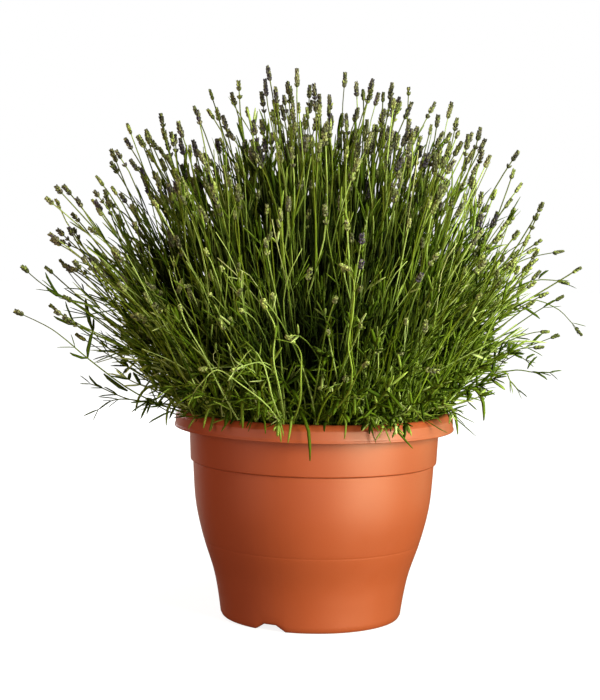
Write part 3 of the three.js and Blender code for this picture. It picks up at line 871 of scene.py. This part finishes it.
def leafy_ends(ring_of, bearing, rng):
    """Where the shoots of a leafy tuft end: the ring's own ends first, and then some by chance."""
    own, count = np.array(ring_of["ends"]), SHOOTS_PER_TUFT - len(ring_of["ends"])
    radius = np.concatenate([own[:, 0], rng.uniform(*ring_of["reach"], count)])
    height = np.concatenate([own[:, 1], rng.uniform(*ring_of["rise"], count)])
    right, back = way(bearing)
    height += RIGHT_LIFT * max(0, right) - FRONT_DROP * max(0, -back)
    swing = np.concatenate([SHOOT_SWING * (np.arange(len(own)) - 1),
                            rng.uniform(-ring_of["swing"], ring_of["swing"], count)])
    return raised(way(bearing + swing) * radius[:, None], height)


def leafy_tuft(ring_of, bearing, hung, twigs, rng):
    """Short shoots from one foot, thick with leaves towards their tips."""
    root = ring_of["root"] * way(bearing)
    ends = leafy_ends(ring_of, bearing, rng)
    count, pairs = len(ends), ring_of["pairs"]
    starts = feet(root, ends, rng)
    arch = rng.uniform(*ring_of["arch"], count)
    lines = grown(starts, ends, arch, swaying("leafy", count, rng), rng)
    tone = 0.85 * rng.random(count) ** 1.3
    places = 0.32 + 0.66 * np.linspace(0, 1, pairs) ** 0.8 + rng.uniform(-0.05, 0, (count, pairs))
    lean, *leaf = ring_of["leaf"]
    parts = [
        woody_foot(root, rng),
        stems(lines, "leafy", tone),
        leaf_pairs(lines, places, [lean, *leaf], tone, rng),
        leaf_pairs(lines, np.full((count, 2), 0.98), [TIP_LEAN * lean, *leaf], tone, rng),
    ]
    if ring_of["overhang"]:
        parts += rim_fringe(bearing, rng)
        parts += wisps(root, bearing, rng)
    if hung:
        parts.append(rim_leaves(hung, rng))
    if twigs:
        parts += rim_twigs(twigs, rng)
    return joined(parts)


def seeded(seed):
    """The repeatable numbers from 0 to 1 that place the inner tufts' tips."""
    factor, step, limit = 1664525, 1013904223, 2 ** 32
    while True:
        seed = (seed * factor + step) % limit
        yield seed / limit


def dome_tips(across, back, seed):
    numbers = seeded(seed)
    tilt = math.radians(DOME_TILT) * math.hypot(across, back)
    bearing = math.atan2(back, across)
    out = np.array([math.sin(tilt) * math.cos(bearing), math.sin(tilt) * math.sin(bearing), math.cos(tilt)])
    sideways = np.array([-math.sin(bearing), math.cos(bearing), 0])
    downward = np.cross(sideways, out)
    tips = []
    for i in range(TIPS_PER_TUFT):
        turn = 2 * math.pi * (i + 0.25 + 0.5 * next(numbers)) / TIPS_PER_TUFT
        reach = (DOME_REACH - REACH_SPREAD * next(numbers)) * (1 + DOME_RISE * out[2] ** 3)
        tips.append(DOME_MIDDLE + out * reach
                    + TIP_SPREAD * (sideways * math.cos(turn) + downward * math.sin(turn)))
    return tips


def scattered(tips, count, reach, spread, rng):
    """Tips round a tuft's own, drawn in towards the middle of the dome, so that the outline keeps."""
    first = tips[rng.integers(0, len(tips), count)]
    second = tips[rng.integers(0, len(tips), count)]
    between = first + (second - first) * rng.random((count, 1)) + rng.normal(0, spread, (count, 3))
    furthest = np.linalg.norm(tips - DOME_MIDDLE, axis=1).max()
    offset = between - DOME_MIDDLE
    length = np.linalg.norm(offset, axis=1, keepdims=True)
    return DOME_MIDDLE + offset * np.minimum(1, furthest / length) * rng.uniform(*reach, (count, 1))


def uprightness(tips):
    """From 0 for a tuft that lies level to 1 for one that stands upright."""
    middle = np.mean(tips, axis=0) - DOME_MIDDLE
    return max(0, middle[2] / np.linalg.norm(middle)) ** UPRIGHT_POWER


def shoot_reach(tips):
    return [reach + SHOOT_REACH_UPRIGHT * uprightness(tips) for reach in SHOOT_REACH]


def outline_tuft(index, tips):
    """An outline tuft carries more, the more upright it stands."""
    count, shoots = (round(level + uprightness(tips) * (upright - level))
                     for level, upright in (OUTLINE_SPIKES, OUTLINE_SHOOTS))
    by_hand = index + 1 in HAND_SHAPED
    return {"tips": tips, "fixed": 0 if by_hand else len(tips), "habit": BEHIND,
            "spikes": 1 if by_hand else count, "shoots": shoots, "bare": 0, "ripe": 1}


def flowering_tufts():
    tufts = [outline_tuft(index, tips) for index, tips in enumerate(OUTLINE_TUFTS)]
    for row in INNER_ROWS:
        for across, count in zip(row["across"], row["spikes"]):
            seed = FIRST_DOME_SEED + len(tufts) - len(OUTLINE_TUFTS)
            tufts.append({**row, "tips": dome_tips(across, row["back"], seed), "fixed": 0, "spikes": count,
                          "habit": FRONT if row["back"] < 0 else BEHIND})
    return tufts


def around_plant(points):
    """The distance of points from the middle of the dome, and the cell of the outline they are in."""
    offset = points - DOME_MIDDLE
    distance = np.linalg.norm(offset, axis=1)
    turn = (np.arctan2(offset[:, 1], offset[:, 0]) / (2 * np.pi) % 1 * OUTLINE_TURNS).astype(int)
    tilt = np.arccos(np.clip(offset[:, 2] / distance, 0, 1)) / (np.pi / 2) * OUTLINE_TILTS
    return distance, np.minimum(tilt.astype(int), OUTLINE_TILTS - 1) * OUTLINE_TURNS + turn


def paint_shade_depth(shapes):
    """Gives every vertex painted light and shade by how near it lies to the plant's outline: 1 there, 0 deep
    inside, lifted towards the top and the right.
    """
    distances, cells = zip(*(around_plant(shape["points"]) for shape in shapes))
    every, every_cell = np.concatenate(distances), np.concatenate(cells)
    outline = np.array([np.percentile(every[every_cell == cell], OUTLINE_SHARE)
                        for cell in range(OUTLINE_TURNS * OUTLINE_TILTS)])
    for shape, distance, cell in zip(shapes, distances, cells):
        lit = (shape["points"] - DOME_MIDDLE) @ PAINTED_LIGHT_WAY / DOME_REACH
        # painted shade by depth below the outline, with painted light towards the top and the right
        painted_brightness = 1 - (outline[cell] - distance) / PAINTED_SHADE_DEPTH + PAINTED_LIGHT_LIFT * np.maximum(lit, 0)
        shape["painted_light"] = np.clip(painted_brightness, 0, 1)


def spline(knots, steps):
    """The uniform Catmull-Rom curve through the knots."""
    knots = np.array(knots, float)
    points = []
    for place in np.linspace(0, len(knots) - 1, steps + 1):
        i = min(int(place), len(knots) - 2)
        w = place - i
        p1, p2 = knots[i], knots[i + 1]
        p0 = knots[i - 1] if i > 0 else p1
        p3 = knots[i + 2] if i + 2 < len(knots) else p2
        v0, v1 = (p2 - p0) / 2, (p3 - p1) / 2
        points.append((2 * p1 - 2 * p2 + v0 + v1) * w ** 3 + (3 * p2 - 3 * p1 - 2 * v0 - v1) * w ** 2
                      + v0 * w + p1)
    return np.array(points)


def rounded(corners, size):
    """An outline with each of its corners replaced by a small curve."""
    corners = np.array(corners, float)
    points = [corners[0]]
    for before, corner, after in zip(corners, corners[1:], corners[2:]):
        back, on = before - corner, after - corner
        start = corner + back * min(CORNER_SHARE, size / np.linalg.norm(back))
        end = corner + on * min(CORNER_SHARE, size / np.linalg.norm(on))
        for t in CORNER_STEPS:
            points.append((1 - t) ** 2 * start + 2 * t * (1 - t) * corner + t ** 2 * end)
    return np.array(points + [corners[-1]])


def grooved(body):
    """The body's outline with rings added round the parting line, and the line pressed in."""
    near = GROOVE_HEIGHT + GROOVE_WIDTH * np.array(GROOVE_RINGS)
    clear = body[np.abs(body[:, 1] - GROOVE_HEIGHT) > 3 * GROOVE_WIDTH, 1]
    heights = np.sort(np.concatenate([clear, near]))[::-1]
    radii = np.interp(heights, body[::-1, 1], body[::-1, 0])
    radii -= GROOVE_DEPTH * np.exp(-(((heights - GROOVE_HEIGHT) / GROOVE_WIDTH) ** 2))
    return np.stack([radii, heights], axis=1)


def pot_outline():
    """The pot's section as [radius, height], from the floor's underside, up outside and down inside."""
    body = grooved(spline(BODY_OUTLINE, BODY_POINTS))
    inside = wall_inside(WALL, BODY_POINTS)
    foot = rounded([*FOOT_OUTLINE, body[-1]], CORNER)
    rim = rounded([body[0], *RIM_OUTLINE, inside[0]], CORNER)
    floor = rounded([inside[-1], [FLOOR_RADIUS, FLOOR_TOP], [0, FLOOR_TOP]], CORNER)
    return np.concatenate([foot[:-1], body[::-1], rim[1:-1], inside, floor[1:]])


def wall_inside(slack, steps):
    """The body's outline moved inwards, from its top to just above the floor."""
    inside = spline([[radius - slack, height] for radius, height in BODY_OUTLINE], steps)
    return inside[inside[:, 1] > FLOOR_TOP + WALL_FOOT]


def turned(outline, bearings):
    """Rings of points round the upright axis, from an outline that starts and ends on it."""
    radius, height = outline[1:-1].T[..., None]
    return raised(radius[..., None] * circle(bearings), height)


def wound(name, points, outline, material):
    """A mesh of rings of points, closed by the outline's two ends on the axis."""
    rings, around = points.shape[:2]
    ends = [[0, 0, outline[0][1]], [0, 0, outline[-1][1]]]
    turn = np.arange(around)
    after = np.roll(turn, -1)
    low = np.stack([np.full(around, rings * around), after, turn], axis=1)
    top = (rings - 1) * around
    high = np.stack([np.full(around, rings * around + 1), turn + top, after + top], axis=1)
    faces = walls_between(rings, around).tolist() + low.tolist() + high.tolist()
    return mesh_of(name, np.concatenate([points.reshape(-1, 3), ends]), faces, [material])


def notch_crest(bearings):
    """How high the underside of the foot stands at each bearing."""
    crest = np.zeros(len(bearings))
    for middle in NOTCH_BEARINGS:
        side = np.abs(np.angle(np.exp(1j * (bearings - math.radians(middle))))) * FOOT_RADIUS
        slope = (NOTCH_WIDTH / 2 - side) / ((NOTCH_WIDTH - NOTCH_CREST) / 2)
        crest = np.maximum(crest, NOTCH_HEIGHT * np.clip(slope, 0, 1))
    return crest


def around_with_notches():
    """Even bearings, with more where a notch starts and ends."""
    turns = [even_turns(AROUND)]
    for middle in np.radians(NOTCH_BEARINGS):
        for half in (NOTCH_WIDTH / 2, NOTCH_CREST / 2):
            turns.append((middle + np.array([-1, 1]) * half / FOOT_RADIUS) % (2 * np.pi))
    turns = np.sort(np.concatenate(turns))
    return turns[np.append(np.diff(turns), 1) > CLOSEST_BEARINGS]


def pot(material):
    outline = pot_outline()
    bearings = around_with_notches()
    points = turned(outline, bearings)
    height, radius = points[..., 2], np.hypot(points[..., 0], points[..., 1])
    foot = (height < NOTCH_FADE) & (radius > NOTCH_INSIDE)
    outside = np.arange(len(points))[:, None] < len(points) // 2
    lift = np.where(foot & outside, notch_crest(bearings) * (1 - height / NOTCH_FADE), 0)
    points[..., 2] += lift
    mesh = wound("terracotta_pot", points, outline, material)
    add_piece(mesh, "pot", "pot")
    mesh.set_sharp_from_angle(angle=math.radians(SHARP_ANGLE))


def soil(material, rng):
    bottom = FLOOR_TOP + GAP
    side = wall_inside(WALL + 2 * GAP, SOIL_STEPS)[::-1]
    top = [[radius, soil_height(radius)] for radius in np.linspace(*MOUND_RADII, MOUND_RINGS)]
    outline = np.array([[0, bottom], [SOIL_FLOOR_RADIUS, bottom], *side, SOIL_SHOULDER,
                        [SOIL_RADIUS, SOIL_EDGE_HEIGHT], *top, [0, soil_height(0)]])
    points = turned(outline, even_turns(SOIL_AROUND))
    mound = points[..., 2] > SOIL_EDGE_HEIGHT - 0.5
    points[..., 2] += np.where(mound, rng.normal(0, SOIL_ROUGHNESS, mound.shape), 0)
    add_piece(wound("potting_mix", points, outline, material), "soil", "potting_soil")


def crumbs(material, rng):
    """Crumbs of peat and bark that lie on the mound."""
    radius = CRUMB_REACH * np.sqrt(rng.random(CRUMBS))
    turn = rng.uniform(0, 2 * np.pi, CRUMBS)
    size = rng.uniform(*CRUMB_SIZE, CRUMBS) * rng.uniform(0.6, 1, CRUMBS)
    middle = raised(radius[:, None] * circle(turn), soil_height(radius) + CRUMB_LIFT * size)
    heading = unit(rng.normal(0, 1, (CRUMBS, 3)) * [1, 1, 0.4])
    centres = middle[:, None] + heading[:, None] * (size[:, None] * CRUMB_PLACES)[..., None]
    radii = size[:, None] * CRUMB_RADII * rng.uniform(0.5, 1, (CRUMBS, 4))
    across = unit(np.cross(heading, rng.normal(0, 1, (CRUMBS, 3))))
    flatness = rng.uniform(0.5, 1, (CRUMBS, 1))
    shape = loft(centres, across, radii, SQUARE, finish=0, tone=rng.random(CRUMBS), flatness=flatness)
    add_piece(strand_mesh("soil_crumbs", shape, [material]), "soil")


def feed(tree, socket, value):
    """Links a socket to another node's output, or sets it to a plain value."""
    if isinstance(value, bpy.types.NodeSocket):
        tree.links.new(value, socket)
    else:
        socket.default_value = value


def add(tree, kind, inputs=None, **settings):
    """A shader node with its settings, and with each named input set or linked."""
    node = tree.nodes.new("ShaderNode" + kind)
    for key, value in settings.items():
        setattr(node, key, value)
    for key, value in (inputs or {}).items():
        feed(tree, node.inputs[key], value)
    return node


def ramp(tree, factor, *stops):
    """Colours along a factor. A plain number stands for a grey."""
    node = add(tree, "ValToRGB", {"Fac": factor})
    elements = node.color_ramp.elements
    while len(elements) < len(stops):
        elements.new(0.5)
    for element, (place, colour) in zip(elements, stops):
        element.position = place
        element.color = (*np.broadcast_to(colour, 3).astype(float), 1)
    return node.outputs["Color"]


def mixed(tree, factor, first, second, blend="MIX"):
    inputs = {"Factor": factor, 6: first, 7: second}
    return add(tree, "Mix", inputs, data_type="RGBA", blend_type=blend).outputs[2]


def product(tree, first, *others):
    """One colour times all the others."""
    for other in others:
        first = mixed(tree, 1.0, first, other, "MULTIPLY")
    return first


def noise(tree, scale, detail=3, stretch=(1, 1, 1)):
    place = add(tree, "TexCoord").outputs["Object"]
    scaled = add(tree, "Mapping", {"Vector": place, "Scale": stretch}).outputs["Vector"]
    return add(tree, "TexNoise", {"Vector": scaled, "Scale": scale, "Detail": detail}).outputs["Fac"]


def growth(tree):
    """A strand's tone, the place along it and how ripe it is, from the mesh."""
    vector = add(tree, "Attribute", attribute_name="growth").outputs["Vector"]
    parts = add(tree, "SeparateXYZ", {"Vector": vector}).outputs
    return parts["X"], parts["Y"], parts["Z"]


def painted_shade(tree):
    """Painted shade and light: nearly black deep in the plant, full colour at its outline, and a little
    brighter than full there.
    """
    painted_brightness = add(tree, "Attribute", attribute_name="painted_light").outputs["Fac"]
    return ramp(tree, painted_brightness, (0, (0.055, 0.065, 0.03)), (0.45, (0.17, 0.2, 0.09)),
                (0.85, (0.74, 0.79, 0.6)), (1, 1.15))


def made_of(paint, roughness, specular=0.5):
    """A material with the base colour that the paint function returns."""
    material = bpy.data.materials.new(paint.__name__)
    material.use_nodes = True
    tree = material.node_tree
    inputs = tree.nodes["Principled BSDF"].inputs
    feed(tree, inputs["Roughness"], roughness)
    feed(tree, inputs["Specular IOR Level"], specular)
    feed(tree, inputs["Base Color"], paint(tree, inputs))
    return material


def bumped(tree, inputs, height, strength, distance):
    bump = add(tree, "Bump", {"Height": height, "Strength": strength, "Distance": distance})
    feed(tree, inputs["Normal"], bump.outputs["Normal"])


def terracotta_plastic(tree, inputs):
    rough = add(tree, "MapRange", {"Value": noise(tree, scale=60, detail=5), "To Min": 0.42, "To Max": 0.54})
    feed(tree, inputs["Roughness"], rough.outputs["Result"])
    bumped(tree, inputs, noise(tree, scale=900, detail=2), strength=0.12, distance=0.0004)
    cloud = noise(tree, scale=9, detail=4)
    return ramp(tree, cloud, (0.3, (0.355, 0.056, 0.0115)), (0.7, (0.393, 0.064, 0.0145)))


def dark_soil(tree, inputs):
    bumped(tree, inputs, noise(tree, scale=500, detail=5), strength=0.8, distance=0.001)
    grain = noise(tree, scale=160, detail=6)
    return ramp(tree, grain, (0.3, (0.006, 0.004, 0.003)), (0.7, (0.035, 0.022, 0.014)))


def stem_green(tree, _):
    tone, place, _ = growth(tree)
    fresh = ramp(tree, tone, (0, (0.085, 0.115, 0.003)), (0.5, (0.22, 0.28, 0.018)),
                 (0.9, (0.45, 0.52, 0.15)), (1, (0.52, 0.49, 0.2)))
    # darker towards the foot, partly older stem and partly painted shade under the crown, and darker and
    # duller near the head; the brightest strands keep their colour all along
    length = ramp(tree, place, (0, (0.75, 0.8, 0.65)), (0.55, 1), (0.95, (0.5, 0.42, 0.42)))
    even = ramp(tree, tone, (0.5, 0), (0.8, 1))
    streak = ramp(tree, noise(tree, scale=300, stretch=(1, 1, 0.15)), (0.3, 0.8), (0.7, 1.1))
    # the stem colour times the painted shade
    return product(tree, fresh, mixed(tree, even, length, (*WHITE, 1)), streak, painted_shade(tree))


def leaf_green(tree, _):
    tone, place, _ = growth(tree)
    fresh = ramp(tree, tone, (0, (0.022, 0.038, 0.001)), (0.45, (0.075, 0.115, 0.004)),
                 (0.8, (0.24, 0.3, 0.05)), (1, (0.47, 0.52, 0.2)))
    tip = product(tree, fresh, (1.15, 1.1, 0.9, 1))
    mottle = ramp(tree, noise(tree, scale=220, detail=4), (0.3, 0.8), (0.7, 1.15))
    # the leaf colour times the painted shade
    return product(tree, mixed(tree, place, fresh, tip), mottle, painted_shade(tree))


def flower_violet(tree, _):
    tone, place, ripe = growth(tree)
    base = ramp(tree, ripe, (0, (0.2, 0.235, 0.05)), (0.3, (0.19, 0.195, 0.062)),
                (0.7, (0.165, 0.155, 0.07)), (1, (0.1, 0.085, 0.065)))
    end = ramp(tree, ripe, (0, (0.26, 0.285, 0.08)), (0.3, (0.185, 0.18, 0.08)),
               (0.7, (0.12, 0.105, 0.082)), (1, (0.05, 0.034, 0.075)))
    shade = ramp(tree, tone, (0, (0.4, 0.39, 0.4)), (0.6, (0.98, 0.94, 0.98)), (1, (1.95, 1.85, 1.75)))
    fleck = ramp(tree, noise(tree, scale=900), (0.35, 0.5), (0.65, 1.5))
    return product(tree, mixed(tree, place, base, end), shade, fleck)


def brown_wood(tree, _):
    grain = noise(tree, scale=400, detail=4, stretch=(1, 1, 0.3))
    return ramp(tree, grain, (0.3, (0.05, 0.03, 0.015)), (0.7, (0.14, 0.09, 0.045)))


def pale_floor(tree, inputs):
    """A near-white floor that gathers a faint shadow near the pot and none further out."""
    place = add(tree, "TexCoord").outputs["Object"]
    length = add(tree, "VectorMath", {0: place}, operation="LENGTH").outputs["Value"]
    spread = {"Value": length, "From Min": 0.15, "From Max": 0.9, "To Min": 0.86, "To Max": 1}
    feed(tree, inputs["Emission Color"], (*WHITE, 1))
    feed(tree, inputs["Emission Strength"], add(tree, "MapRange", spread).outputs["Result"])
    return ramp(tree, noise(tree, scale=2, detail=2), (0.3, 0.28), (0.7, 0.3))


def floor():
    corners = [[x * FLOOR_HALF, y * FLOOR_HALF, 0] for x, y in ((-1, -1), (1, -1), (1, 1), (-1, 1))]
    look = made_of(pale_floor, roughness=0.9, specular=0.1)
    sheet = linked(mesh_of("floor", corners, [(0, 1, 2, 3)], [look]))
    sheet.location.z = -FLOOR_SINK * MM
    sheet.visible_diffuse = False
    sheet.visible_glossy = False


def backdrop():
    """A white room for the eye, and a dim one for the light it sheds and for reflections."""
    world = bpy.data.worlds.new("studio")
    bpy.context.scene.world = world
    world.use_nodes = True
    tree = world.node_tree
    seen = tree.nodes["Background"]
    feed(tree, seen.inputs["Color"], (*WHITE, 1))
    shed = add(tree, "Background", {"Color": (*SHED_TINT, 1), "Strength": SHED_LIGHT})
    mirrored = add(tree, "Background", {"Color": (*WHITE, 1), "Strength": MIRRORED_LIGHT})
    ray = add(tree, "LightPath").outputs
    unseen = add(tree, "MixShader", {"Fac": ray["Is Glossy Ray"], 1: shed.outputs[0], 2: mirrored.outputs[0]})
    mix = add(tree, "MixShader", {"Fac": ray["Is Camera Ray"], 1: unseen.outputs[0], 2: seen.outputs[0]})
    feed(tree, tree.nodes["World Output"].inputs["Surface"], mix.outputs[0])


def softbox(name, place, size, power, tint, mirrored_only):
    lamp = bpy.data.lights.new(name, "AREA")
    lamp.color = tint
    lamp.shape = "RECTANGLE"
    lamp.size, lamp.size_y = size[0] * MM, size[1] * MM
    lamp.energy = power
    holder = linked(lamp)
    holder.location = Vector(place) * MM
    aim = Vector(LIGHTS_AIM) * MM - holder.location
    holder.rotation_euler = aim.to_track_quat("-Z", "Y").to_euler()
    holder.visible_diffuse = not mirrored_only


def camera():
    """The eye that the photograph was taken from."""
    lens = bpy.data.cameras.new("camera")
    lens.lens = FOCAL_LENGTH
    lens.sensor_width = SENSOR_WIDTH
    eye = linked(lens)
    stand = Matrix.Translation(Vector(CAMERA_PLACE) * MM)
    for axis, angle in CAMERA_TURNS:
        stand = stand @ Matrix.Rotation(math.radians(angle), 4, axis)
    eye.matrix_world = stand
    bpy.context.scene.camera = eye


def of_tuft(rows, index):
    return [row for row in rows if row[0] == index + 1]


def lavender_pieces(kind, node, slot, shapes, materials):
    for index, shape in enumerate(shapes):
        mesh = strand_mesh(f"lavender_{kind}_{index + 1:02d}", shape, materials)
        add_piece(mesh, slot, f"{node}_{index + 1:02d}")


def plant():
    materials = [
        made_of(stem_green, roughness=0.6, specular=0.08),
        made_of(leaf_green, roughness=0.6, specular=0.06),
        made_of(flower_violet, roughness=0.8, specular=0.08),
        made_of(brown_wood, roughness=0.85, specular=0.2),
    ]
    flowering, leafy = [], []
    for index, tuft in enumerate(flowering_tufts()):
        by_hand = {"buds": FRONT_BUDS, "bent": BENT_STEMS, "side": SIDE_STEMS, "blades": SIDE_LEAVES}
        placed = {kind: of_tuft(rows, index) for kind, rows in by_hand.items()}
        flowering.append(flowering_tuft(tuft, placed, np.random.default_rng(SEED + index)))
    spots = [(ring_of, bearing) for ring_of in SHOOT_RINGS for bearing in ring_of["bearings"]]
    for index, (ring_of, bearing) in enumerate(spots):
        rng = np.random.default_rng(LEAFY_SEED + index)
        hung, twigs = of_tuft(RIM_LEAVES, index), of_tuft(RIM_TWIGS, index)
        leafy.append(leafy_tuft(ring_of, bearing, hung, twigs, rng))
    paint_shade_depth(flowering + leafy)
    lavender_pieces("stems", "flowering_stems", "flower_stems", flowering, materials)
    lavender_pieces("leaves", "leafy_shoots", "leaves", leafy, materials)


bpy.context.scene.view_settings.view_transform = "Standard"
camera()
backdrop()
for name, values in LIGHTS.items():
    softbox(name, *values)
floor()
pot(made_of(terracotta_plastic, roughness=0.42))
soil(made_of(dark_soil, roughness=0.95, specular=0.2), np.random.default_rng(SOIL_SEED))
crumbs(made_of(dark_soil, roughness=0.95, specular=0.2), np.random.default_rng(CRUMB_SEED))
plant()
